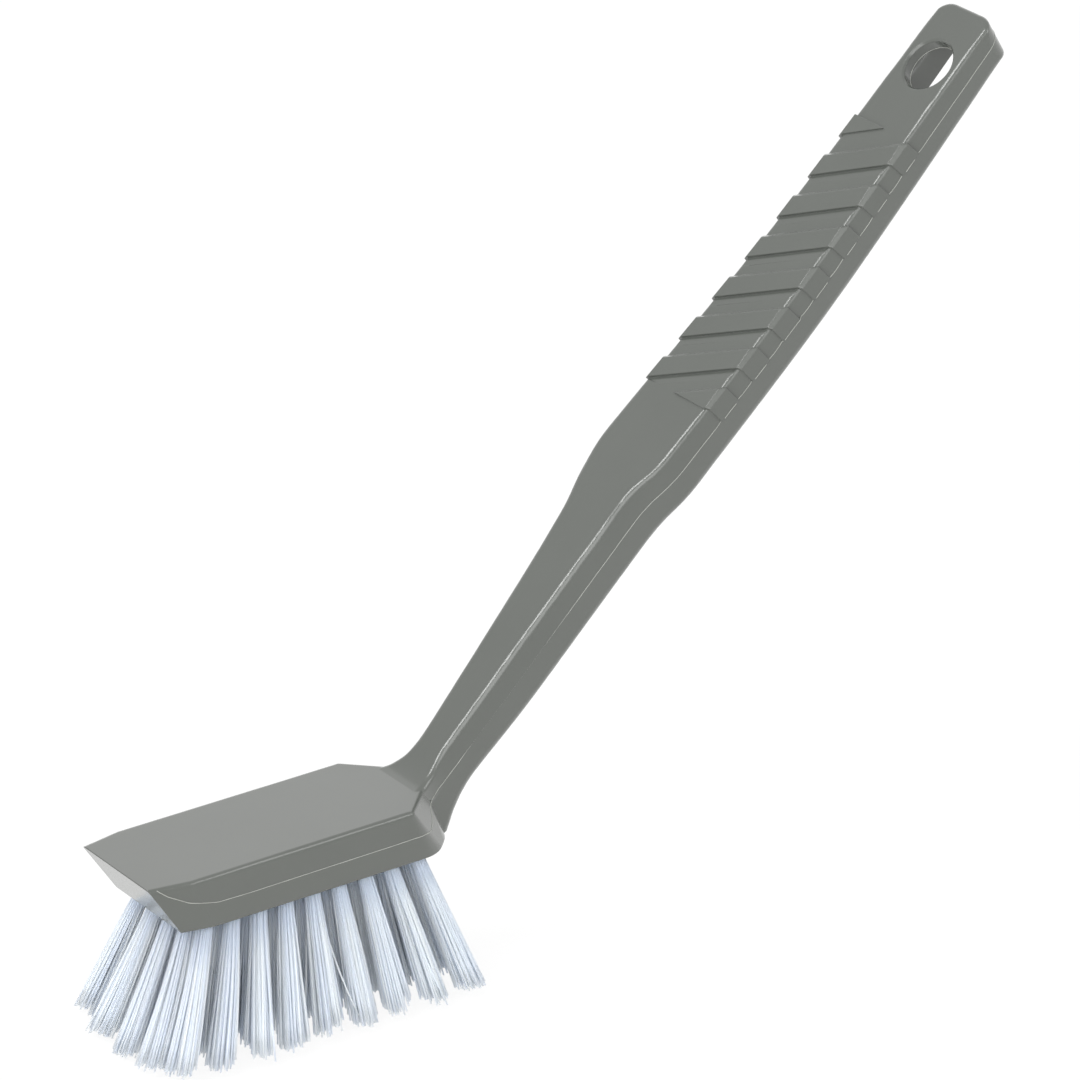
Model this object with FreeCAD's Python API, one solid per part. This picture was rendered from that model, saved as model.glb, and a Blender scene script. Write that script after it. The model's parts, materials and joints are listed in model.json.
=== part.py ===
import FreeCAD, Part
import math
import os

# Dish brush: a one-piece moulded handle and head, and bristle tufts stapled into the head.
# Millimetres. The origin is the middle of the scrubbing face, on the plane of the bristle tips.
# +Z is up, away from the bristles. +X runs from the scraper edge to the grip. The head is level.

# Head block
head_height = 12.7
head_width = 29.2
head_front = 44.1            # field centre to the scraper edge
head_side_end = 24.5         # field centre to where the top narrows to the neck
head_neck_end = 34.4         # field centre to the neck end of the top face
head_neck_width = 11.0
scraper_width = 26.0
scraper_corner = 9.5         # length over which the front corners widen to the full width
undercut = 8.8               # how far the end face leans back below the scraper edge
undercut_corner = 7.6        # the same length as scraper_corner, at the bottom
side_draft = 0.4             # each side is this much narrower at the bottom
rear_flare = 7.8             # how far the rear corners spread backwards at the bottom
neck_flare = 6.2             # how far the neck end spreads backwards at the bottom
neck_spread = 0.8            # each side of the neck end is this much wider at the bottom
head_top_round = 1.0
rear_top_round = 1.5         # rear corners in plan, at the top
rear_bottom_round = 9.0      # rear corners in plan, at the bottom
neck_top_round = 1.4
neck_bottom_round = 12.0

# Handle: the line of its top face, and its width and depth, at named places along it
handle_angle = 45.3          # rise of the handle above the head
handle_rise = 3.6            # height of the handle's line above the head's top at the neck
shank_length = 66.0
neck_length = 20.0
grip_length = 124.2
shank_root_top = -2.3        # top face, measured square to the handle's line
shank_middle_top = -0.8
shank_end_top = 0.9
neck_crest_top = 2.0
grip_start_top = 1.1
grip_middle_top = -2.9
grip_end_top = -3.8
shank_root_width = 8.6
shank_middle_width = 11.4
shank_end_width = 15.2
neck_crest_width = 17.9
grip_start_width = 21.7
grip_middle_width = 19.3
grip_end_width = 17.3
shank_root_depth = 12.3
shank_middle_depth = 14.2
shank_end_depth = 14.3
neck_crest_depth = 14.6
grip_start_depth = 13.8
grip_middle_depth = 12.5
grip_end_depth = 10.3
parting_share = 0.42         # mould line, as a share of the depth below the top face
parting_bulge = 0.35         # each side stands out this much at the mould line
top_edge_round = 1.2
bottom_edge_round = 2.4
root_flare = 2.6             # the shank's root swells this much at its sides and bottom, at the head
root_spread = 3.6            # its top spreads this much more to each side
root_flare_length = 8.0      # along the shank
root_flare_bury = 8.0        # how far the swelling goes on inside the head
root_ramp = 13.0             # radius of the hollow between the shank's top and the head's top
root_ramp_turn = 37.0        # how far that hollow turns before it runs on straight, degrees
end_tilt = 12.0              # the grip's end face leans in at the bottom, degrees
end_corner_round = 4.6
end_rim_round = 0.9

# Grip ribs
rib_pitch = 11.6
rib_width = 6.2              # along the handle
rib_height = 0.65            # at its crest, near the edge towards the grip's end
rib_foot = 0.45              # at its edge towards the head
rib_shoulder = 0.9           # the crest slopes off over this length
rib_hollow = 0.25            # depth of the dip in front of each rib
rib_hollow_length = 2.6
rib_slant = 29.0             # degrees from square across the handle
rib_start_inset = 15.2       # grip start to where the first rib is trimmed
rib_end_inset = 32.7         # grip end to where the last rib is trimmed
rib_lead = 5.5               # the first rib's edge towards the head lies this far before its trim
rib_side_height = 0.55       # how far the ribs stand out of the sides
rib_edge_bevel = 0.95
rib_stop = 0.3               # the ribs end this far above the mould line

# Core: the grip is open underneath
core_side_wall = 2.5
core_top_wall = 3.0
core_end_wall = 4.0
core_start_inset = 4.0       # grip start to the start of the core
core_corner_round = 1.5

# Hanging hole
hang_hole_radius = 6.25
hang_hole_inset = 14.8       # grip end to the hole's centre
hang_hole_chamfer = 0.5

# Bristle tufts
tuft_columns = 9             # from the front to the rear
tuft_rows = 5                # across the head
column_pitch = 7.0
row_pitch = 5.5
column_fan = 17.5            # lean of the first and last columns, degrees
row_fan = 14.0               # lean of the outer rows, degrees
bristle_length = 31.5        # head underside to the plane of the tips
bend_drop = 5.0              # the bending line, below the head underside
tuft_hole_radius = 1.85
tuft_hole_depth = 9.0
tuft_root_clearance = 0.05   # radial, and at the end of the hole
tuft_tip_radius = 3.1
tuft_bend_radius = 2.0
bend_gap = 0.3

# Tuft anchors, flat wire
anchor_width = 1.6
anchor_thickness = 0.35
anchor_bite = 0.3            # into the hole's wall at each end
anchor_height = 0.4          # above the anchor to the end of the hole

os.makedirs("parts", exist_ok=True)

tolerance = 0.01
underside_z = bristle_length
top_z = underside_z + head_height
slope = math.radians(handle_angle)
along = FreeCAD.Vector(math.cos(slope), 0, math.sin(slope))
across = FreeCAD.Vector(0, 1, 0)
outward = FreeCAD.Vector(-math.sin(slope), 0, math.cos(slope))
handle_start = FreeCAD.Vector(head_neck_end, 0, top_z + handle_rise)
grip_start = shank_length + neck_length
handle_length = grip_start + grip_length


def on_handle(distance, side, height):
    return handle_start + along * distance + across * side + outward * height


def blend(places, values, distance):
    # smooth curve through the values, flat-sloped only where they turn
    last = len(places) - 1
    chords = [(values[i + 1] - values[i]) / (places[i + 1] - places[i]) for i in range(last)]
    slopes = [chords[0]]
    for i in range(1, last):
        turning = chords[i - 1] * chords[i] <= 0
        slopes.append(0.0 if turning else 2 * chords[i - 1] * chords[i] / (chords[i - 1] + chords[i]))
    slopes.append(chords[-1])
    i = 0
    while i < last - 1 and distance > places[i + 1]:
        i += 1
    span = places[i + 1] - places[i]
    u = (distance - places[i]) / span
    if u < 0:
        return values[0] + slopes[0] * (distance - places[0])
    start = values[i] * (1 + 2 * u) * (1 - u) ** 2 + slopes[i] * span * u * (1 - u) ** 2
    return start + values[i + 1] * u * u * (3 - 2 * u) + slopes[i + 1] * span * u * u * (u - 1)


places = [
    0.0,
    shank_length / 2,
    shank_length,
    shank_length + neck_length / 2,
    grip_start,
    grip_start + grip_length / 2,
    handle_length,
]
tops = [
    shank_root_top,
    shank_middle_top,
    shank_end_top,
    neck_crest_top,
    grip_start_top,
    grip_middle_top,
    grip_end_top,
]
widths = [
    shank_root_width,
    shank_middle_width,
    shank_end_width,
    neck_crest_width,
    grip_start_width,
    grip_middle_width,
    grip_end_width,
]
depths = [
    shank_root_depth,
    shank_middle_depth,
    shank_end_depth,
    neck_crest_depth,
    grip_start_depth,
    grip_middle_depth,
    grip_end_depth,
]


root_corner = -(handle_rise + shank_root_top * math.cos(slope)) / math.sin(slope)
root_ramp_start = root_corner + root_ramp * math.tan(slope / 2)


def flare_at(distance):
    # grows as a square from nothing, at the end of the flare, to 1 inside the head
    share = (root_flare_length - distance) / (root_flare_length + root_flare_bury)
    return min(max(share, 0), 1) ** 2


def ramp_at(distance):
    # an arc off the shank's top that turns down to the head's top and runs straight on into the head
    turn = math.radians(root_ramp_turn)
    reach = min(max(root_ramp_start - distance, 0), root_ramp_start + root_flare_bury)
    curved = min(reach, root_ramp * math.sin(turn))
    return root_ramp - math.sqrt(root_ramp ** 2 - curved ** 2) + (reach - curved) * math.tan(turn)


def top_at(distance):
    return blend(places, tops, distance) + ramp_at(distance)


def half_width_at(distance):
    return blend(places, widths, distance) / 2 + root_flare * flare_at(distance)


def depth_at(distance):
    return blend(places, depths, distance) + ramp_at(distance) + root_flare * flare_at(distance)


def rounded_wire(corners, place):
    # corners are (first, second, radius) in a plane that place() maps into space
    count = len(corners)
    starts = []
    bends = []
    ends = []
    for i, (first, second, radius) in enumerate(corners):
        here = FreeCAD.Vector(first, second, 0)
        before = FreeCAD.Vector(corners[i - 1][0], corners[i - 1][1], 0) - here
        after = FreeCAD.Vector(corners[(i + 1) % count][0], corners[(i + 1) % count][1], 0) - here
        before.normalize()
        after.normalize()
        half = before.getAngle(after) / 2
        inward = before + after
        inward.normalize()
        starts.append(here + before * (radius / math.tan(half)))
        bends.append(here + inward * (radius / math.sin(half) - radius))
        ends.append(here + after * (radius / math.tan(half)))
    edges = []
    for i in range(count):
        if corners[i][2]:
            arc = [place(point.x, point.y) for point in (starts[i], bends[i], ends[i])]
            edges.append(Part.Arc(*arc).toShape())
        following = starts[(i + 1) % count]
        run = [place(point.x, point.y) for point in (ends[i], following)]
        edges.append(Part.LineSegment(*run).toShape())
    return Part.Wire(edges)


def handle_section(distance):
    top = top_at(distance)
    half = half_width_at(distance)
    top_half = half + root_spread * flare_at(distance)
    depth = depth_at(distance)
    parting = top - depth * parting_share
    bottom = top - depth
    corners = [
        (top_half, top, top_edge_round),
        (half + parting_bulge, parting, 0),
        (half, bottom, bottom_edge_round),
        (-half, bottom, bottom_edge_round),
        (-half - parting_bulge, parting, 0),
        (-top_half, top, top_edge_round),
    ]
    return rounded_wire(corners, lambda side, height: on_handle(distance, side, height))


def rib_section(distance):
    top = top_at(distance) + rib_height
    half = half_width_at(distance) + rib_side_height
    foot = top_at(distance) - depth_at(distance) * parting_share + rib_stop
    corners = [
        (half - rib_edge_bevel, top, 0),
        (half, top - rib_edge_bevel, 0),
        (half + parting_bulge, foot, 0),
        (-half - parting_bulge, foot, 0),
        (-half, top - rib_edge_bevel, 0),
        (-half + rib_edge_bevel, top, 0),
    ]
    return rounded_wire(corners, lambda side, height: on_handle(distance, side, height))


# Handle body: one loft from inside the head to past the end of the grip
handle_buried = (head_height + handle_rise) / math.sin(slope)
end_lean = math.radians(end_tilt)
end_overrun = depth_at(handle_length) * math.tan(end_lean)
# start, end and number of steps of each stretch between sections
zones = [
    (-handle_buried, -root_flare_bury, 2),
    (-root_flare_bury, root_flare_length, 8),
    (root_flare_length, shank_length, 6),
    (shank_length, grip_start, 5),
    (grip_start, handle_length + end_overrun, 17),
]
handle_places = []
for start, end, count in zones:
    handle_places += [start + (end - start) * index / count for index in range(count)]
handle_places.append(handle_length + end_overrun)
handle = Part.makeLoft([handle_section(place) for place in handle_places], True)

# The grip's end: a leaning face, its corners rounded in plan, then its rim
end_half = half_width_at(handle_length) + parting_bulge
end_middle = on_handle(handle_length, 0, top_at(handle_length) - depth_at(handle_length) / 2)
end_normal = along * math.cos(end_lean) - outward * math.sin(end_lean)
end_up = outward * math.cos(end_lean) + along * math.sin(end_lean)


def end_block(side, inset, width, length, height):
    # box with its lower inner corner at side and inset from the end face, centred in height
    corner = end_middle + across * side - end_normal * inset - end_up * (height / 2)
    points = [corner, corner + across * width]
    points += [points[1] + end_normal * length, corner + end_normal * length]
    return Part.Face(Part.makePolygon(points + points[:1])).extrude(end_up * height)


end_reach = 4 * grip_end_depth
handle = handle.cut(end_block(-grip_end_width, 0, 2 * grip_end_width, end_reach, end_reach))
for side in (-1, 1):
    centre_side = side * (end_half - end_corner_round)
    square_corner = end_block(centre_side, end_corner_round, side * end_reach, end_reach, end_reach)
    post_foot = end_middle + across * centre_side - end_normal * end_corner_round - end_up * (end_reach / 2)
    post = Part.makeCylinder(end_corner_round, end_reach, post_foot, end_up)
    handle = handle.cut(square_corner.cut(post))
end_rim = []
for edge in handle.Edges:
    if all(abs((vertex.Point - end_middle).dot(end_normal)) < tolerance for vertex in edge.Vertexes):
        end_rim.append(edge)
handle = handle.makeFillet(end_rim_round, end_rim)

# The core is a loft between the walls, open at the bottom
def core_section(distance):
    half = half_width_at(distance) - core_side_wall
    top = top_at(distance) - core_top_wall
    below = top_at(distance) - 2 * depth_at(distance)
    corners = [
        (half, top, core_corner_round),
        (half, below, 0),
        (-half, below, 0),
        (-half, top, core_corner_round),
    ]
    return rounded_wire(corners, lambda side, height: on_handle(distance, side, height))


core_start = grip_start + core_start_inset
core_section_count = 9
core_step = (handle_length - core_end_wall - core_start) / (core_section_count - 1)
core_places = [core_start + core_step * index for index in range(core_section_count)]
core = Part.makeLoft([core_section(place) for place in core_places], True)

# Grip ribs: slanted pads cut from a slightly larger body, above the mould line only, with a dip before each
# but the last, which the trim cuts short
rib_zone_start = grip_start + rib_start_inset
rib_zone_end = handle_length - rib_end_inset
rib_first = rib_zone_start - rib_lead
rib_count = math.ceil((rib_zone_end - rib_first) / rib_pitch)
rib_section_count = 7
rib_step = (rib_zone_end - rib_zone_start) / (rib_section_count - 1)
rib_places = [rib_zone_start + rib_step * index for index in range(rib_section_count)]
rib_body = Part.makeLoft([rib_section(place) for place in rib_places], True)
rib_lean = math.radians(rib_slant)
reach = grip_start_width
ribs = []
hollows = []
for index in range(rib_count):
    place = rib_first + rib_pitch * index
    rise = top_at(place + rib_width) - top_at(place)
    tilt = math.atan2(rise, rib_width)
    forward = along * math.cos(tilt) + outward * math.sin(tilt)
    upward = outward * math.cos(tilt) - along * math.sin(tilt)
    run = across * math.cos(rib_lean) - forward * math.sin(rib_lean)
    square = forward * math.cos(rib_lean) + across * math.sin(rib_lean)
    width = rib_width * math.cos(rib_lean)
    corner = on_handle(place, 0, top_at(place)) - run * reach
    shoulder = rib_shoulder * math.cos(rib_lean)
    hollow_width = rib_hollow_length * math.cos(rib_lean)
    pad_outline = [
        (0, -head_height),
        (0, rib_foot),
        (width - shoulder, rib_height),
        (width, 0),
        (width, -head_height),
    ]
    hollow_outline = [(0, rib_foot), (0, -rib_hollow), (-hollow_width, 0), (-hollow_width, rib_foot)]
    for outline, cuts in ((pad_outline, ribs), (hollow_outline, hollows)):
        points = [corner + square * x + upward * z for x, z in outline]
        bar = Part.Face(Part.makePolygon(points + points[:1])).extrude(run * (2 * reach))
        cuts.append(rib_body.common(bar))
hollows.pop()

# Head block, between its top outline and its bottom outline
half_head = head_width / 2
half_scraper = scraper_width / 2
half_neck = head_neck_width / 2
top_outline = [
    (-head_front, half_scraper, 0),
    (-head_front + scraper_corner, half_head, 0),
    (head_side_end, half_head, rear_top_round),
    (head_neck_end, half_neck, neck_top_round),
]
bottom_outline = [
    (-head_front + undercut, half_scraper - side_draft, 0),
    (-head_front + undercut + undercut_corner, half_head - side_draft, 0),
    (head_side_end + rear_flare, half_head - side_draft, rear_bottom_round),
    (head_neck_end + neck_flare, half_neck + neck_spread, neck_bottom_round),
]


def outline_wire(outline, height):
    mirrored = [(x, -y, radius) for x, y, radius in reversed(outline)]
    return rounded_wire(outline + mirrored, lambda x, y: FreeCAD.Vector(x, y, height))


head_wires = [outline_wire(bottom_outline, underside_z), outline_wire(top_outline, top_z)]
head = Part.makeLoft(head_wires, True, True)
rim = []
for edge in head.Edges:
    box = edge.BoundBox
    if box.ZMin > top_z - tolerance and box.XMax > -head_front + tolerance:
        rim.append(edge)
head = head.makeFillet(head_top_round, rim)

# Tuft places: rows and columns fan outwards from the middle of the head
middle_column = (tuft_columns - 1) / 2
middle_row = (tuft_rows - 1) / 2
root_radius = tuft_hole_radius - tuft_root_clearance
long_enough = 2 * bristle_length
above_tips = Part.makeBox(
    4 * head_front, 4 * head_width, long_enough, FreeCAD.Vector(-2 * head_front, -2 * head_width, 0)
)


def box_along(centre, length_way, width_way, height_way, length, width, height):
    corner = centre - length_way * (length / 2) - width_way * (width / 2)
    points = [corner, corner + length_way * length]
    points += [points[1] + width_way * width, corner + width_way * width]
    return Part.Face(Part.makePolygon(points + points[:1])).extrude(height_way * height)


tufts = {}
holes = []
roots = []
anchors = []
for column in range(tuft_columns):
    lean_back = math.radians(column_fan * (column - middle_column) / middle_column)
    for row in range(tuft_rows):
        lean_out = math.radians(row_fan * (row - middle_row) / middle_row)
        mouth = FreeCAD.Vector(
            column_pitch * (column - middle_column), row_pitch * (row - middle_row), underside_z
        )
        down = FreeCAD.Vector(math.tan(lean_back), math.tan(lean_out), -1)
        per_drop = down.Length
        down.normalize()
        lengthwise = FreeCAD.Vector(1, 0, 0) - down * down.x
        lengthwise.normalize()
        crosswise = down.cross(lengthwise)

        hole_end = mouth - down * tuft_hole_depth
        drilled = tuft_hole_depth + 2 * tuft_hole_radius
        holes.append(Part.makeCylinder(tuft_hole_radius, drilled, hole_end, down))

        anchor_length = 2 * (tuft_hole_radius + anchor_bite)
        anchor_top = hole_end + down * anchor_height
        anchor = box_along(
            anchor_top, lengthwise, crosswise, down, anchor_length, anchor_thickness, anchor_width
        )
        anchors.append(anchor)

        # the flat root end stands clear of the rounded start of the free length
        bend = mouth + down * (bend_drop * per_drop)
        root_start = hole_end + down * tuft_root_clearance
        root_length = (bend - root_start).Length - tuft_bend_radius - bend_gap
        roots.append(Part.makeCylinder(root_radius, root_length, root_start, down).cut(anchor))

        free_length = (bristle_length - bend_drop) * per_drop
        grow = (tuft_tip_radius - tuft_bend_radius) / free_length
        cut_length = free_length + tuft_tip_radius
        crown = bend - down * tuft_bend_radius
        shoulder = bend + lengthwise * tuft_bend_radius
        quarter = bend + (lengthwise - down) * (tuft_bend_radius * math.sqrt(0.5))
        rim_point = bend + down * cut_length + lengthwise * (tuft_bend_radius + grow * cut_length)
        foot = bend + down * cut_length
        profile = Part.Wire(
            [
                Part.Arc(crown, quarter, shoulder).toShape(),
                Part.LineSegment(shoulder, rim_point).toShape(),
                Part.LineSegment(rim_point, foot).toShape(),
                Part.LineSegment(foot, crown).toShape(),
            ]
        )
        tuft = Part.Face(profile).revolve(bend, down, 360)
        tufts["tuft_c%d_r%d" % (column + 1, row + 1)] = tuft.common(above_tips)

# Hanging hole, square to the top face where it stands
hang_hole_place = handle_length - hang_hole_inset
hole_slope = (top_at(hang_hole_place + 1) - top_at(hang_hole_place - 1)) / 2
hole_way = outward - along * hole_slope
hole_way.normalize()
hole_top = on_handle(hang_hole_place, 0, top_at(hang_hole_place))
hole_depth = depth_at(hang_hole_place)
hole_foot = hole_top - hole_way * (2 * hole_depth)
hang_hole = Part.makeCylinder(hang_hole_radius, 3 * hole_depth, hole_foot, hole_way)
hole_lip = Part.makeCone(
    hang_hole_radius,
    hang_hole_radius + 2 * hang_hole_chamfer,
    2 * hang_hole_chamfer,
    hole_top - hole_way * hang_hole_chamfer,
    hole_way,
)

# One moulding: handle, ribs and head, less the dips, the core, the holes and the anchors' pockets
under_head = Part.makeBox(
    4 * head_front, 2 * head_width, underside_z, FreeCAD.Vector(-2 * head_front, -head_width, 0)
)
moulding = handle.cut(under_head).fuse([head] + ribs)
moulding = moulding.cut([core, hang_hole, hole_lip] + hollows + holes + anchors)

pieces = {
    "handle_moulding": moulding.Solids[0],
    "tuft_roots": Part.makeCompound(roots),
    "tuft_anchors": Part.makeCompound(anchors),
}
pieces.update(tufts)
for name, shape in pieces.items():
    shape.exportStep("parts/" + name + ".step")
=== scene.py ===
import json
import math

import bpy
import numpy as np
from mathutils import Matrix, Vector
from mathutils.bvhtree import BVHTree


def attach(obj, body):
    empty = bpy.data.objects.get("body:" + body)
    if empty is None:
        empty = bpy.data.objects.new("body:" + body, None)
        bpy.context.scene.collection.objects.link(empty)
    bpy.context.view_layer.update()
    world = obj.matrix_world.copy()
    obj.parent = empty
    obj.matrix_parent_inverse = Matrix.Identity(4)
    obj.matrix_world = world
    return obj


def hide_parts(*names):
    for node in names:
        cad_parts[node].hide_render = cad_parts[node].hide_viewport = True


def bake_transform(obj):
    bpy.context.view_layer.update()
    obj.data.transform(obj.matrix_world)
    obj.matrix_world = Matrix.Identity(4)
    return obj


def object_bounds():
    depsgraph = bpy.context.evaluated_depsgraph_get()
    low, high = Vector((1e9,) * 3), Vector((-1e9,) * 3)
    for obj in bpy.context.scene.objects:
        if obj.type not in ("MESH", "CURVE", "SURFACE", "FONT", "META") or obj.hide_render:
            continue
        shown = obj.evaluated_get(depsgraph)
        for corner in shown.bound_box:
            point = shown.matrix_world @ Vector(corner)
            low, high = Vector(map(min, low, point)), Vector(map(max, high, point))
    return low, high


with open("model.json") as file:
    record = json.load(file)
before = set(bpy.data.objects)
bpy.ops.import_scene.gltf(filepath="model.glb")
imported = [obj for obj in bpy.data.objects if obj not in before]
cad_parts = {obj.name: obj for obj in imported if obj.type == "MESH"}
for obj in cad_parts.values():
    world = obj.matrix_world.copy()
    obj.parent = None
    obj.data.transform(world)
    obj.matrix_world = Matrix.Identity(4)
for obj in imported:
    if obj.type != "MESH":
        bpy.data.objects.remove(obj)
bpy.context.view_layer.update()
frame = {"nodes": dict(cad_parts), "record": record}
mm = 0.001


def hexColour(text):
    # sRGB hex to the linear colour that the shader takes
    channel = np.array([int(text[at:at + 2], 16) for at in (1, 3, 5)]) / 255
    linear = np.where(channel <= 0.04045, channel / 12.92, ((channel + 0.055) / 1.055) ** 2.4)
    return (*linear.tolist(), 1.0)


def addNode(tree, kind, settings, inputs):
    # one node with its settings; an input is a plain value or the socket that feeds it
    node = tree.nodes.new(kind)
    for name, value in settings.items():
        setattr(node, name, value)
    for name, value in inputs.items():
        if isinstance(value, bpy.types.NodeSocket):
            tree.links.new(value, node.inputs[name])
        else:
            node.inputs[name].default_value = value
    return node


def newMaterial(name):
    material = bpy.data.materials.new(name)
    material.use_nodes = True
    material.node_tree.nodes.clear()
    return material, material.node_tree


def perMetre(sizeInMm):
    # texture scale that gives features of about this size
    return 1 / (sizeInMm * mm)


def meshPiece(name, points, faces, material, attributes):
    # a mesh object at the origin, points in mm, smooth shaded, one float attribute per named array
    mesh = bpy.data.meshes.new(name)
    mesh.from_pydata((points.reshape(-1, 3) * mm).tolist(), [], faces)
    mesh.polygons.foreach_set("use_smooth", np.ones(len(mesh.polygons), dtype=bool))
    for label, values in attributes.items():
        layer = mesh.attributes.new(label, "FLOAT", "POINT")
        layer.data.foreach_set("value", np.ascontiguousarray(values, dtype=np.float32).ravel())
    mesh.materials.append(material)
    piece = bpy.data.objects.new(name, mesh)
    bpy.context.scene.collection.objects.link(piece)
    return piece


def tubeFaces(tubeCount, ringCount, sideCount):
    # quads between neighbouring rings of each tube, and one face to close each of its two ends
    index = np.arange(tubeCount * ringCount * sideCount).reshape(tubeCount, ringCount, sideCount)
    onward = np.roll(index, -1, axis=2)
    quads = np.stack([index[:, :-1], index[:, 1:], onward[:, 1:], onward[:, :-1]], axis=-1)
    starts = index[:, 0, :]
    ends = index[:, -1, ::-1]
    return quads.reshape(-1, 4).tolist() + starts.tolist() + ends.tolist()


handleFinish = {
    "colourLow": "#4a4d49",
    "colourHigh": "#4f524e",
    "cloudSize": 16.0,        # slow colour drift of the melt, mm
    "grainSize": 0.55,        # etched mould grain, really about 0.1 mm, drawn coarser so that it shows
    "grainDepth": 0.002,
    "sinkSize": 14.0,         # slow waves where the thick wall shrank, mm
    "sinkDepth": 0.05,
    "roughLow": 0.19,
    "roughHigh": 0.24,
    "edgeRound": 0.42,        # mm, the tool's own small radius on every sharp step
    "polish": 0.5,            # how much of the mould's polish shows on top of the satin
    "polishRough": 0.14,
}


def mouldedPolypropylene():
    # injection-moulded grey polypropylene: satin skin, a faint grain, soft bright lines along every edge
    material, tree = newMaterial("mouldedPolypropylene")
    finish = handleFinish
    place = addNode(tree, "ShaderNodeTexCoord", {}, {}).outputs["Object"]
    cloud = addNode(tree, "ShaderNodeTexNoise", {}, {
        "Vector": place, "Scale": perMetre(finish["cloudSize"]), "Detail": 3.0, "Roughness": 0.5})
    colour = addNode(tree, "ShaderNodeMix", {"data_type": "RGBA"}, {
        0: cloud.outputs["Fac"], 6: hexColour(finish["colourLow"]), 7: hexColour(finish["colourHigh"])})
    grain = addNode(tree, "ShaderNodeTexNoise", {}, {
        "Vector": place, "Scale": perMetre(finish["grainSize"]), "Detail": 2.0, "Roughness": 0.6})
    sink = addNode(tree, "ShaderNodeTexNoise", {}, {
        "Vector": place, "Scale": perMetre(finish["sinkSize"]), "Detail": 1.0})
    rough = addNode(tree, "ShaderNodeMapRange", {}, {
        "Value": grain.outputs["Fac"], "From Min": 0.3, "From Max": 0.7,
        "To Min": finish["roughLow"], "To Max": finish["roughHigh"]})
    soft = addNode(tree, "ShaderNodeBevel", {"samples": 6}, {"Radius": finish["edgeRound"] * mm})
    wave = addNode(tree, "ShaderNodeBump", {}, {
        "Strength": 0.5, "Distance": finish["sinkDepth"] * mm, "Height": sink.outputs["Fac"],
        "Normal": soft.outputs["Normal"]})
    skin = addNode(tree, "ShaderNodeBump", {}, {
        "Strength": 0.6, "Distance": finish["grainDepth"] * mm, "Height": grain.outputs["Fac"],
        "Normal": wave.outputs["Normal"]})
    shader = addNode(tree, "ShaderNodeBsdfPrincipled", {}, {
        "Base Color": colour.outputs[2], "Roughness": rough.outputs["Result"], "IOR": 1.5,
        "Coat Weight": finish["polish"], "Coat Roughness": finish["polishRough"],
        "Normal": skin.outputs["Normal"], "Coat Normal": soft.outputs["Normal"]})
    addNode(tree, "ShaderNodeOutputMaterial", {}, {"Surface": shader.outputs["BSDF"]})
    return material


# the flash's pale colour: partly whitened trimmed plastic, partly painted highlight
flashGlintFinish = {"colourLow": "#7b7d78", "colourHigh": "#a3a59f", "chipSize": 2.2, "rough": 0.34}


def paleFlashWithGlint():
    # the same polypropylene squeezed into the mould's joint: a thin ridge, paler where it was scraped
    # off; the pale colour is also a painted highlight that stands for the glint along the ridge
    material, tree = newMaterial("paleFlashWithGlint")
    place = addNode(tree, "ShaderNodeTexCoord", {}, {}).outputs["Object"]
    chips = addNode(tree, "ShaderNodeTexNoise", {}, {
        "Vector": place, "Scale": perMetre(flashGlintFinish["chipSize"]), "Detail": 2.0})
    colour = addNode(tree, "ShaderNodeMix", {"data_type": "RGBA"}, {
        0: chips.outputs["Fac"], 6: hexColour(flashGlintFinish["colourLow"]),
        7: hexColour(flashGlintFinish["colourHigh"])})
    shader = addNode(tree, "ShaderNodeBsdfPrincipled", {}, {
        "Base Color": colour.outputs[2], "Roughness": flashGlintFinish["rough"], "IOR": 1.49})
    addNode(tree, "ShaderNodeOutputMaterial", {}, {"Surface": shader.outputs["BSDF"]})
    return material


filamentFinish = {
    "colourLow": "#f3f7fd",
    "colourHigh": "#fcfeff",
    # painted shade: the strands are drawn greyer at their roots, where the head shades them
    "paintedRootShade": "#eaf0f8",
    "rootShadeFade": 0.35,         # share of the strand's length over which the painted shade at the root fades out
    "rough": 0.38,
    "clear": 0.72,            # share of the light that passes through a strand
}


def drawnFilament():
    # drawn polyester filament: milky white with a cool cast that lets light through, each strand its own
    # tone, with painted shade that greys the strands near the holes, where the head shades their roots
    material, tree = newMaterial("drawnFilament")
    shade = addNode(tree, "ShaderNodeAttribute", {"attribute_name": "shade"}, {})
    reach = addNode(tree, "ShaderNodeAttribute", {"attribute_name": "reach"}, {})
    strand = addNode(tree, "ShaderNodeMix", {"data_type": "RGBA"}, {
        0: shade.outputs["Fac"], 6: hexColour(filamentFinish["colourLow"]),
        7: hexColour(filamentFinish["colourHigh"])})
    rise = addNode(tree, "ShaderNodeMapRange", {"interpolation_type": "SMOOTHSTEP"}, {
        "Value": reach.outputs["Fac"], "From Min": 0.0, "From Max": filamentFinish["rootShadeFade"],
        "To Min": 0.0, "To Max": 1.0})
    # painted shade: the strand's colour turns greyer towards its root, under the head
    colour = addNode(tree, "ShaderNodeMix", {"data_type": "RGBA"}, {
        0: rise.outputs["Result"], 6: hexColour(filamentFinish["paintedRootShade"]), 7: strand.outputs[2]})
    skin = addNode(tree, "ShaderNodeBsdfPrincipled", {}, {
        "Base Color": colour.outputs[2], "Roughness": filamentFinish["rough"], "IOR": 1.5})
    through = addNode(tree, "ShaderNodeBsdfTranslucent", {}, {"Color": colour.outputs[2]})
    milky = addNode(tree, "ShaderNodeMixShader", {}, {
        0: filamentFinish["clear"], 1: skin.outputs["BSDF"], 2: through.outputs["BSDF"]})
    addNode(tree, "ShaderNodeOutputMaterial", {}, {"Surface": milky.outputs["Shader"]})
    return material


wireFinish = {"colourLow": "#a9adb1", "colourHigh": "#c6c9cc", "drawSize": 0.3, "rough": 0.34}


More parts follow.
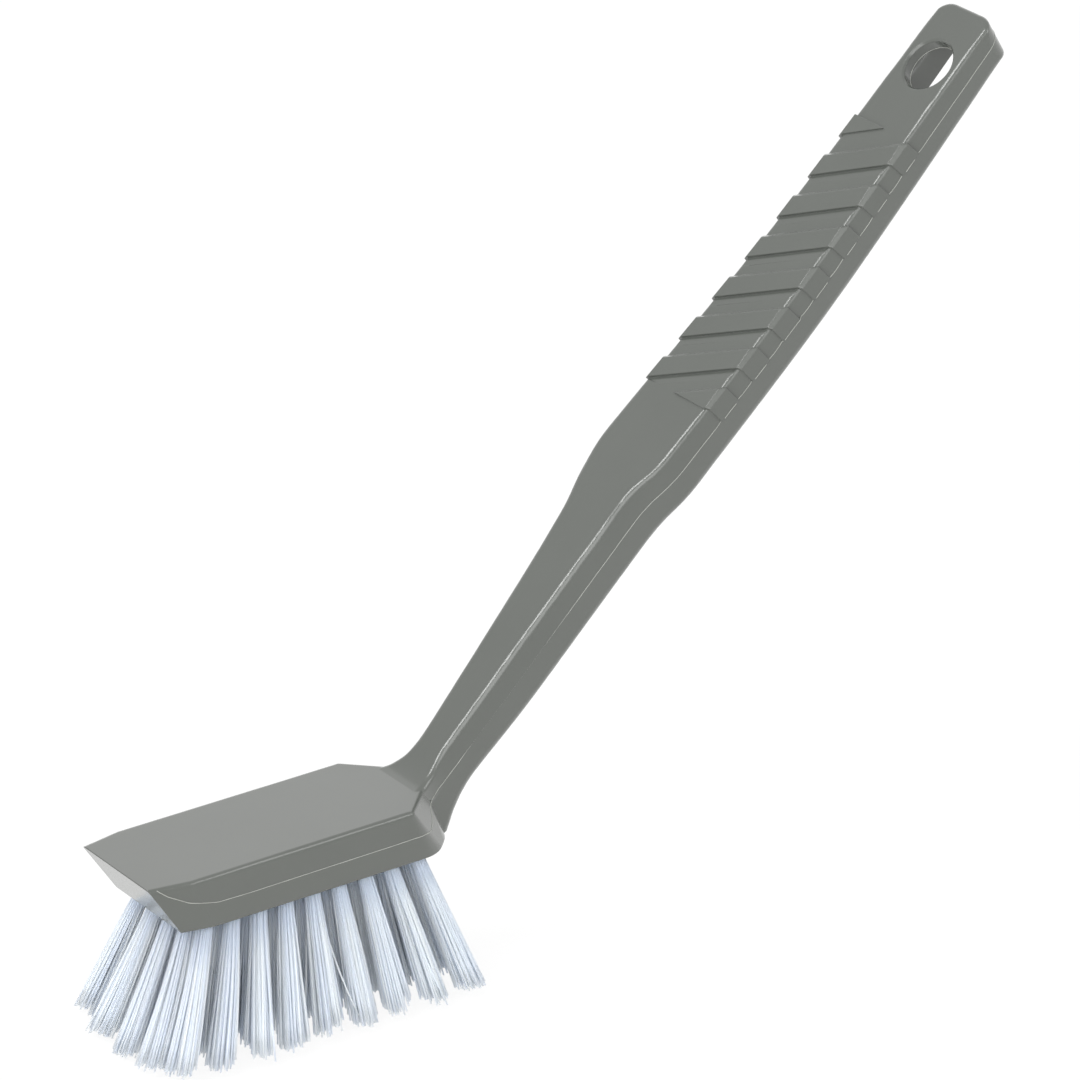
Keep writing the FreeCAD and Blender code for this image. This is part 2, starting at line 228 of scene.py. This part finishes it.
def galvanisedWire():
    # flat galvanised steel wire cut into anchors: pale grey metal with short drawing marks
    material, tree = newMaterial("galvanisedWire")
    place = addNode(tree, "ShaderNodeTexCoord", {}, {}).outputs["Object"]
    marks = addNode(tree, "ShaderNodeTexNoise", {}, {
        "Vector": place, "Scale": perMetre(wireFinish["drawSize"]), "Detail": 2.0})
    colour = addNode(tree, "ShaderNodeMix", {"data_type": "RGBA"}, {
        0: marks.outputs["Fac"], 6: hexColour(wireFinish["colourLow"]),
        7: hexColour(wireFinish["colourHigh"])})
    shader = addNode(tree, "ShaderNodeBsdfPrincipled", {}, {
        "Base Color": colour.outputs[2], "Metallic": 1.0, "Roughness": wireFinish["rough"]})
    addNode(tree, "ShaderNodeOutputMaterial", {}, {"Surface": shader.outputs["BSDF"]})
    return material


handleSkin = mouldedPolypropylene()
flashGlintSkin = paleFlashWithGlint()
filamentSkin = drawnFilament()
wireSkin = galvanisedWire()
for nodeName, skin in (("handle_moulding", handleSkin), ("tuft_anchors", wireSkin)):
    nodeMesh = frame["nodes"][nodeName].data
    nodeMesh.materials.clear()
    nodeMesh.materials.append(skin)
print("materials on the moulding and its anchors")

# mould line: a thin ridge round the whole moulding, where the two halves of the mould met
mouldLine = {
    "handleStart": (34.4, 47.8),      # x and z where the handle's line starts, mm
    "handleSlope": 45.3,              # degrees
    "handleFrom": 6.0,                # along the handle, where the search for its widest places starts
    "handleReach": 205.0,             # as far along the handle as the straight sides go
    "searchHeights": (-9.6, -3.2),    # between these heights the side stands out most
    "searchSteps": 65,
    "evenOver": 7,                    # neighbours over which the widest places are evened out
    "castFrom": 60.0,                 # rays at the side start this far out, mm
    "endCorner": 4.6,                 # radius of the end's corners, mm
    "cornerCastFrom": 30.0,
    "cornerStep": 8,                  # degrees between points round a corner
    # x and z along the head's side, from the scraper to the shank
    "headPath": ((-42.0, 43.9), (-39.4, 41.9), (-34.2, 39.1), (-27.1, 37.4), (-19.0, 37.2),
                 (21.0, 37.4), (25.4, 37.5), (28.4, 37.4), (31.9, 36.6), (33.7, 37.6), (34.3, 39.8),
                 (35.9, 40.5), (37.1, 41.5), (38.3, 42.5), (39.8, 43.4), (42.0, 45.2)),
    "ridge": 0.10,                    # radius of the ridge, mm
    "worn": (12.0, 52.0),             # between these places along the handle the ridge is hardly there
    "wornFade": (6.0, 15.0),          # how long it takes to wear down and to come back
    "wornRidge": 0.004,
    "step": 0.8,                      # distance between points, mm
    "sides": 6,
}


def mouldingSurface():
    mesh = frame["nodes"]["handle_moulding"].data
    corner = np.empty(len(mesh.vertices) * 3)
    mesh.vertices.foreach_get("co", corner)
    faces = [face.vertices[:] for face in mesh.polygons]
    return BVHTree.FromPolygons(corner.reshape(-1, 3).tolist(), faces)


surface = mouldingSurface()


def castOn(origins, direction):
    # where rays from points in mm, all one way, first meet the moulding
    hits = [surface.ray_cast(Vector(point) * mm, Vector(direction))[0] for point in origins.tolist()]
    return np.array([(np.nan,) * 3 if hit is None else hit[:] for hit in hits]) / mm


def onHandle(distance, height):
    # x and z of a point that far along the handle and that far out from its line
    slope = math.radians(mouldLine["handleSlope"])
    startX, startZ = mouldLine["handleStart"]
    return (startX + distance * math.cos(slope) - height * math.sin(slope),
            startZ + distance * math.sin(slope) + height * math.cos(slope))


def widestHeights(distances):
    # at each place along the handle, the height at which the side stands out most, a little evened out
    heights = np.linspace(*mouldLine["searchHeights"], mouldLine["searchSteps"])
    along, up = np.meshgrid(distances, heights, indexing="ij")
    x, z = onHandle(along, up)
    rays = np.stack([x, np.full_like(x, -mouldLine["castFrom"]), z], axis=-1).reshape(-1, 3)
    width = -castOn(rays, (0, 1, 0))[:, 1].reshape(along.shape)
    widest = heights[np.nanargmax(np.nan_to_num(width, nan=-1.0), axis=1)]
    window = np.hanning(mouldLine["evenOver"])
    padded = np.pad(widest, mouldLine["evenOver"] // 2, mode="edge")
    return np.convolve(padded, window / window.sum(), mode="valid")


def mouldLinePath():
    # near side from the scraper to the end, across the end face, and back along the far side
    distances = np.arange(mouldLine["handleFrom"], mouldLine["handleReach"], mouldLine["step"])
    heights = widestHeights(distances)
    handleX, handleZ = onHandle(distances, heights)
    head = np.array(mouldLine["headPath"])
    guideX = np.concatenate([head[:, 0], handleX])
    guideZ = np.concatenate([head[:, 1], handleZ])
    run = np.concatenate([[0], np.cumsum(np.hypot(np.diff(guideX), np.diff(guideZ)))])
    even = np.arange(0, run[-1], mouldLine["step"])
    x, z = np.interp(even, run, guideX), np.interp(even, run, guideZ)
    near = castOn(np.stack([x, np.full_like(x, -mouldLine["castFrom"]), z], axis=-1), (0, 1, 0))
    near = near[~np.isnan(near[:, 0])]
    slope = math.radians(mouldLine["handleSlope"])
    cornerY = near[-1, 1] + mouldLine["endCorner"]
    cornerX, cornerZ = onHandle(mouldLine["handleReach"], heights[-1])
    middle = np.array([[cornerX, cornerY, cornerZ]])
    corner = []
    for turn in np.radians(np.arange(mouldLine["cornerStep"], 90, mouldLine["cornerStep"])):
        onward = math.sin(turn)
        outward = np.array([onward * math.cos(slope), -math.cos(turn), onward * math.sin(slope)])
        corner.append(castOn(middle + mouldLine["cornerCastFrom"] * outward, -outward)[0])
    corner = np.array(corner)
    mirror = (1, -1, 1)
    path = np.concatenate([near, corner, corner[::-1] * mirror, near[::-1] * mirror])
    return path[~np.isnan(path[:, 0])]


def sweptTube(path, radius, sideCount):
    # a circle carried along a path, square to the way that the path runs
    tangent = np.gradient(path, axis=0)
    tangent /= np.linalg.norm(tangent, axis=1, keepdims=True)
    sideways = np.cross(tangent, (0.0, 0.0, 1.0))
    sideways /= np.linalg.norm(sideways, axis=1, keepdims=True)
    upward = np.cross(sideways, tangent)
    turn = np.linspace(0, 2 * np.pi, sideCount, endpoint=False)
    across = np.cos(turn)[None, :, None] * sideways[:, None, :]
    ring = across - np.sin(turn)[None, :, None] * upward[:, None, :]
    return path[:, None, :] + radius[:, None, None] * ring


def ridgeSizes(path):
    # the ridge's radius at each point: full, but worn down along the shank
    slope = math.radians(mouldLine["handleSlope"])
    startX, startZ = mouldLine["handleStart"]
    along = (path[:, 0] - startX) * math.cos(slope) + (path[:, 2] - startZ) * math.sin(slope)
    first, last = mouldLine["worn"]
    fadeOut, fadeIn = mouldLine["wornFade"]
    places = (first - fadeOut, first, last - fadeIn, last)
    full, worn = mouldLine["ridge"], mouldLine["wornRidge"]
    return np.interp(along, places, (full, worn, worn, full))


ridgePath = mouldLinePath()
ridgeRings = sweptTube(ridgePath, ridgeSizes(ridgePath), mouldLine["sides"])
ridgeFaces = tubeFaces(1, len(ridgeRings), mouldLine["sides"])
# painted highlight in part: the ridge's pale colour stands for the glint along the mould line
mouldRidge = meshPiece("mould_flash", ridgeRings, ridgeFaces, flashGlintSkin, {})
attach(mouldRidge, "handle")
print("mould line:", len(ridgeRings), "rings")

# painted highlight in the hanging hole: a thin pale rim where its wall stops at the hollow underneath the
# grip, standing for the glint on that edge
holeRim = {
    "ridge": 0.11,            # radius of the rim, mm
    "points": 72,
    "lowest": 5.0,            # the search for the wall's lower end goes this far down
    "step": 0.05,
    "slack": 0.12,            # a wall further from the axis than the hole's radius and this is no wall
}


def holeRimPath():
    # a level ring as low as the hole's wall still goes all the way round
    hole = [mount for mount in frame["record"]["mounts"] if mount["name"] == "hanging_hole"][0]
    middle = np.array(hole["pos_m"]) / mm
    axis = np.array(hole["axis"])
    radius = hole["dims"]["r_mm"]
    across = np.array([0.0, 1.0, 0.0])
    onward = np.cross(across, axis)
    drops = np.arange(0.0, holeRim["lowest"], holeRim["step"])
    depths, outwards = [], []
    for turn in np.linspace(0, 2 * np.pi, holeRim["points"], endpoint=False):
        outward = math.cos(turn) * across + math.sin(turn) * onward
        wall = castOn(middle - drops[:, None] * axis, outward)
        away = np.linalg.norm(wall - (middle - drops[:, None] * axis), axis=1)
        depths.append(drops[away < radius + holeRim["slack"]].max())
        outwards.append(outward)
    ring = middle - min(depths) * axis + radius * np.array(outwards)
    return np.concatenate([ring, ring[:2]])


rimPath = holeRimPath()
rimRings = sweptTube(rimPath, np.full(len(rimPath), holeRim["ridge"]), mouldLine["sides"])
rimFaces = tubeFaces(1, len(rimRings), mouldLine["sides"])
# painted highlight: a pale ring where the hole's lower edge glints
holeGlintRing = meshPiece("hole_glint_ring", rimRings, rimFaces, flashGlintSkin, {})
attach(holeGlintRing, "handle")
print("hole rim:", len(rimRings), "rings")

# bristles: nine columns of five tufts, every strand its own tube
tuftBed = {
    "columns": 9,
    "rows": 5,
    "columnPitch": 7.0,       # mm, as drilled in the head
    "rowPitch": 5.5,
    "columnFan": 17.5,        # degrees that the end columns lean out
    "rowFan": 14.0,
    "underside": 31.5,        # height of the head's underside over the tips, mm
    "bendDrop": 5.0,          # where the strands bend, below the underside
    "holeRadius": 1.62,
    "tipRadius": 3.9,
    "rooted": 1.4,            # how far a strand runs up into its hole
}
strands = {
    "perTuft": 104,
    "radius": 0.22,           # mm, a little thicker than the real strand so that few strands fill a tuft
    "rings": 7,
    "sides": 5,
    "clumps": 4,              # knots of strands that cling together in a tuft
    "cling": 0.22,
    "clumpLevel": 0.7,        # mm up or down of a clump's tips
    "strandLevel": 0.55,
    "bow": 0.12,
    "strayShare": 0.02,
    "strayLean": 1.6,
    "turnStep": 2.39996,      # radians from one strand to the next, which spreads them evenly over a disc
    "jitter": 0.03,           # share of the tuft's radius
    "clumpReach": 0.75,       # how far from the tuft's middle a clump may lie, as a share of its radius
    "levelLimits": (-2.4, 1.3),
    "seed": 4107,
}
# how far single tufts of the front corner are set off at their tips: x, y, down, mm
tuftSet = {
    (0, 0): (1.0, 3.4, -0.4),
    (0, 1): (-1.6, 0.6, 1.2),
    (0, 2): (-1.9, 0.0, 1.4),
    (0, 3): (-1.6, 0.0, 1.2),
    (1, 0): (0.4, 1.8, 0.3),
}


def columnStrands(column):
    # each strand runs from its spot in the round hole to its spot in a wider round tip, pulled towards
    # its clump's middle, with a slight bow; a strand is a ring of points carried down that line
    count, rows = strands["perTuft"], tuftBed["rows"]
    draw = np.random.default_rng(strands["seed"] + column)
    row = np.arange(rows)
    columnStep = column - (tuftBed["columns"] - 1) / 2
    rowStep = row - (rows - 1) / 2
    leanX = math.tan(math.radians(tuftBed["columnFan"] * columnStep / ((tuftBed["columns"] - 1) / 2)))
    leanY = np.tan(np.radians(tuftBed["rowFan"] * rowStep / ((rows - 1) / 2)))
    spot = np.arange(count)
    outward = np.sqrt((spot + 0.5) / count)
    turn = spot * strands["turnStep"] + draw.uniform(0, 2 * np.pi, (rows, 1))
    disc = np.stack([outward * np.cos(turn), outward * np.sin(turn)], axis=-1)
    disc = disc + draw.normal(0, strands["jitter"], disc.shape)
    clumpReach = strands["clumpReach"]
    middles = draw.uniform(-clumpReach, clumpReach, (rows, strands["clumps"], 2))
    apart = np.linalg.norm(disc[:, :, None, :] - middles[:, None, :, :], axis=-1)
    clump = apart.argmin(axis=2)
    middle = np.take_along_axis(middles, clump[:, :, None].repeat(2, axis=2), axis=1)
    tipDisc = disc + strands["cling"] * (middle - disc) + draw.normal(0, strands["jitter"], disc.shape)
    stray = draw.uniform(0, 1, (rows, count)) < strands["strayShare"]
    tipShift = np.where(stray[..., None], draw.normal(0, strands["strayLean"], disc.shape), 0.0)
    clumpLevel = draw.normal(0, strands["clumpLevel"], (rows, strands["clumps"]))
    level = np.take_along_axis(clumpLevel, clump, axis=1)
    level = level + draw.normal(0, strands["strandLevel"], (rows, count))
    level = np.clip(level, *strands["levelLimits"])
    bow = draw.normal(0, strands["bow"], disc.shape)
    shade = draw.uniform(0, 1, (rows, count))
    offset = np.array([tuftSet.get((column, each), (0.0, 0.0, 0.0)) for each in row])
    level = level + offset[:, None, 2]
    tipShift = tipShift + offset[:, None, :2]
    share = np.linspace(0, 1, strands["rings"])
    drop = share * (tuftBed["underside"] + tuftBed["rooted"] + level[..., None]) - tuftBed["rooted"]
    fall = np.clip(drop / tuftBed["underside"], 0, None)
    spread = fall[..., None]
    lateral = disc[:, :, None, :] * tuftBed["holeRadius"] * (1 - spread)
    lateral = lateral + tipDisc[:, :, None, :] * tuftBed["tipRadius"] * spread
    lateral = lateral + tipShift[:, :, None, :] * spread ** 2
    lateral = lateral + bow[:, :, None, :] * np.sin(np.pi * np.clip(spread, 0, 1)) ** 2
    x = columnStep * tuftBed["columnPitch"] + leanX * drop + lateral[..., 0]
    y = rowStep[:, None, None] * tuftBed["rowPitch"] + leanY[:, None, None] * drop + lateral[..., 1]
    line = np.stack([x, y, tuftBed["underside"] - drop], axis=-1)
    line = line.reshape(rows * count, strands["rings"], 3)
    around = np.linspace(0, 2 * np.pi, strands["sides"], endpoint=False)
    ring = np.stack([np.cos(around), np.sin(around), np.zeros_like(around)], axis=-1) * strands["radius"]
    points = line[:, :, None, :] + ring
    shades = np.broadcast_to(shade.reshape(-1, 1, 1), points.shape[:3])
    reaches = np.broadcast_to(fall.reshape(rows * count, strands["rings"], 1), points.shape[:3])
    return points, shades, reaches, leanX


for column in range(tuftBed["columns"]):
    points, shades, reaches, leanX = columnStrands(column)
    strandFaces = tubeFaces(len(points), strands["rings"], strands["sides"])
    name = "bristles_" + str(column + 1)
    bristles = meshPiece(name, points, strandFaces, filamentSkin, {"shade": shades, "reach": reaches})
    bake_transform(bristles)
    tuftNodes = ["tuft_c" + str(column + 1) + "_r" + str(row + 1) for row in range(tuftBed["rows"])]
    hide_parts("tuft_roots", *tuftNodes)
print("bristles:", tuftBed["columns"] * tuftBed["rows"] * strands["perTuft"], "strands")

# floor, light and camera
studio = {
    "floorColour": "#f4f4f2",
    "floorHalf": 4.0,         # metres
    "floorGap": 0.2,          # mm below the lowest tip
    "floorGlow": 0.9,         # how much of the floor that the camera sees is plain white
    "worldLight": 0.85,
    # name, place, width and height in metres, power in watts
    "lamps": (
        ("overheadStrip", (-0.84, 0.15, 1.38), 0.4, 1.2, 15.0),
        ("frontFill", (-0.85, -1.20, 0.70), 1.8, 1.2, 17.0),
        ("sideSoftbox", (0.95, -1.04, 0.93), 0.6, 0.6, 4.0),
        ("rearSoftbox", (1.12, 1.18, 0.74), 1.6, 1.5, 3.0),
    ),
    "aim": (0.06, 0.0, 0.10),
}
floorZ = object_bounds()[0][2] / mm - studio["floorGap"]


def straightRay(tree):
    # 1 where the background is seen, straight, mirrored or through a strand, and 0 for other light
    path = addNode(tree, "ShaderNodeLightPath", {}, {})
    mirrored = addNode(tree, "ShaderNodeMath", {"operation": "MAXIMUM"}, {
        0: path.outputs["Is Glossy Ray"], 1: path.outputs["Is Transmission Ray"]})
    seen = addNode(tree, "ShaderNodeMath", {"operation": "MAXIMUM"}, {
        0: path.outputs["Is Camera Ray"], 1: mirrored.outputs[0]})
    return seen.outputs[0]


def paleFloor():
    # matt white board; the camera sees most of it as plain white, with the object's soft shadow kept
    material, tree = newMaterial("mattBoard")
    glow = addNode(tree, "ShaderNodeMath", {"operation": "MULTIPLY"}, {
        0: straightRay(tree), 1: studio["floorGlow"]})
    matt = addNode(tree, "ShaderNodeBsdfDiffuse", {}, {"Color": hexColour(studio["floorColour"])})
    white = addNode(tree, "ShaderNodeEmission", {}, {"Color": (1, 1, 1, 1), "Strength": 1.0})
    mixed = addNode(tree, "ShaderNodeMixShader", {}, {
        0: glow.outputs[0], 1: matt.outputs["BSDF"], 2: white.outputs["Emission"]})
    addNode(tree, "ShaderNodeOutputMaterial", {}, {"Surface": mixed.outputs["Shader"]})
    return material


half = studio["floorHalf"] / mm
floorPoints = np.array([
    (-half, -half, floorZ), (half, -half, floorZ), (half, half, floorZ), (-half, half, floorZ)])
floor = meshPiece("floor", floorPoints, [(0, 1, 2, 3)], paleFloor(), {})

world = bpy.data.worlds.new("studioWorld")
world.use_nodes = True
world.node_tree.nodes.clear()
strength = addNode(world.node_tree, "ShaderNodeMapRange", {}, {
    "Value": straightRay(world.node_tree), "To Min": studio["worldLight"], "To Max": 1.0})
sky = addNode(world.node_tree, "ShaderNodeBackground", {}, {
    "Color": (1, 1, 1, 1), "Strength": strength.outputs["Result"]})
addNode(world.node_tree, "ShaderNodeOutputWorld", {}, {"Surface": sky.outputs["Background"]})
bpy.context.scene.world = world

for lampName, lampPlace, lampWidth, lampHeight, lampPower in studio["lamps"]:
    lamp = bpy.data.lights.new(lampName, "AREA")
    lamp.shape = "RECTANGLE"
    lamp.size = lampWidth
    lamp.size_y = lampHeight
    lamp.energy = lampPower
    lampObject = bpy.data.objects.new(lampName, lamp)
    lampObject.location = lampPlace
    toAim = Vector(studio["aim"]) - Vector(lampPlace)
    lampObject.rotation_euler = toAim.to_track_quat("-Z", "Y").to_euler()
    bpy.context.scene.collection.objects.link(lampObject)

shot = {
    "azimuth": -37.94,        # degrees
    "elevation": 25.05,
    "roll": 1.97,
    "distance": 1401.57,      # mm
    "target": (65.9, 0.0, 104.2),
    "slide": (-1.81, 9.31),   # mm across and up in the picture
    "focalPixels": 6353.87,
    "imagePixels": 1080,
    "sensor": 36.0,
    "clip": (0.05, 30.0),     # metres
}
azimuth, elevation, roll = (math.radians(shot[angle]) for angle in ("azimuth", "elevation", "roll"))
away = math.cos(elevation)
back = Vector((math.sin(azimuth) * away, -math.cos(azimuth) * away, math.sin(elevation)))
level = Vector((math.cos(azimuth), math.sin(azimuth), 0))
upright = back.cross(level)
right = level * math.cos(roll) + upright * math.sin(roll)
up = upright * math.cos(roll) - level * math.sin(roll)
slideX, slideY = shot["slide"]
eye = (Vector(shot["target"]) + back * shot["distance"] - right * slideX - up * slideY) * mm
lens = bpy.data.cameras.new("camera")
lens.sensor_width = shot["sensor"]
lens.sensor_fit = "HORIZONTAL"
lens.lens = shot["focalPixels"] * shot["sensor"] / shot["imagePixels"]
lens.clip_start, lens.clip_end = shot["clip"]
camera = bpy.data.objects.new("camera", lens)
camera.matrix_world = Matrix((right, up, back)).transposed().to_4x4()
camera.location = eye
bpy.context.scene.collection.objects.link(camera)
bpy.context.scene.camera = camera
bpy.context.scene.view_settings.view_transform = "Standard"
print("floor, lamps and camera set")
